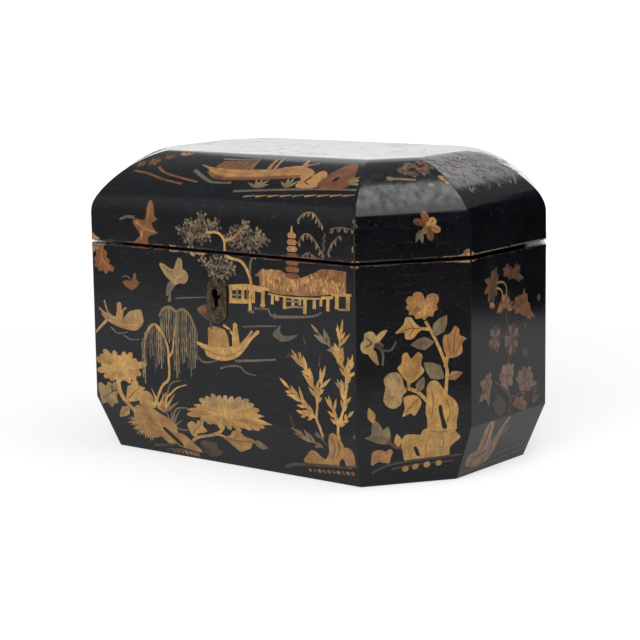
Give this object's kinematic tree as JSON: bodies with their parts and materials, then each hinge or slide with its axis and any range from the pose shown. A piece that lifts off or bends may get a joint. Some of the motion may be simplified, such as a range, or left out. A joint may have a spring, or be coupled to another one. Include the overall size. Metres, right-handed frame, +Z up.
{
  "type": "lacquered wooden box",
  "caption": "Oblong lacquered wooden box with canted corners, a sloping foot, an arched hinged lid with a flat top, and a box lock behind a front keyhole.",
  "frame": {"origin": "centre of the flat underside of the base", "axes": "+X along the front to the right, +Y from the front to the back, +Z up"},
  "size_m": [0.24, 0.1724, 0.1577],
  "materials": {
    "lacquered_wood": "black lacquer with gilt ornament, worn at the edges",
    "brass": "aged and tarnished",
    "steel": "dull"
  },
  "bodies": {
    "case": {"wall_front": "lacquered_wood", "wall_front_right": "lacquered_wood", "wall_right_end": "lacquered_wood", "wall_back_right": "lacquered_wood", "wall_back": "lacquered_wood", "wall_back_left": "lacquered_wood", "wall_left_end": "lacquered_wood", "wall_front_left": "lacquered_wood", "foot_front": "lacquered_wood", "foot_front_right": "lacquered_wood", "foot_right_end": "lacquered_wood", "foot_back_right": "lacquered_wood", "foot_back": "lacquered_wood", "foot_back_left": "lacquered_wood", "foot_left_end": "lacquered_wood", "foot_front_left": "lacquered_wood", "base_board": "lacquered_wood", "hinge_left_lower_leaf": "brass", "hinge_right_lower_leaf": "brass", "hinge_left_pin": "steel", "hinge_right_pin": "steel", "hinge_lower_screws": "steel", "escutcheon": "brass", "escutcheon_pins": "brass", "lock_case": "brass", "lock_cap": "brass", "lock_top_plate": "brass", "lock_spring": "steel", "lock_screws": "steel"},
    "lid": {"lid_rim_front": "lacquered_wood", "lid_rim_front_right": "lacquered_wood", "lid_rim_right_end": "lacquered_wood", "lid_rim_back_right": "lacquered_wood", "lid_rim_back": "lacquered_wood", "lid_rim_back_left": "lacquered_wood", "lid_rim_left_end": "lacquered_wood", "lid_rim_front_left": "lacquered_wood", "lid_crown_front": "lacquered_wood", "lid_crown_front_right": "lacquered_wood", "lid_crown_right_end": "lacquered_wood", "lid_crown_back_right": "lacquered_wood", "lid_crown_back": "lacquered_wood", "lid_crown_back_left": "lacquered_wood", "lid_crown_left_end": "lacquered_wood", "lid_crown_front_left": "lacquered_wood", "lid_top_board": "lacquered_wood", "hinge_left_upper_leaf": "brass", "hinge_right_upper_leaf": "brass", "hinge_upper_screws": "steel", "link_plate": "brass", "link_screws": "steel"},
    "bolt": {"lock_bolt": "steel"}
  },
  "joints": [
    {"name": "lid_hinge", "type": "hinge", "parent": "case", "child": "lid", "pos_m": [0, 0.0857, 0.1119], "axis": [-1, 0, 0], "range_deg": [0, 100]},
    {"name": "bolt_slide", "type": "slide", "parent": "case", "child": "bolt", "axis": [-1, 0, 0], "range_m": [0, 0.0045]}
  ]
}
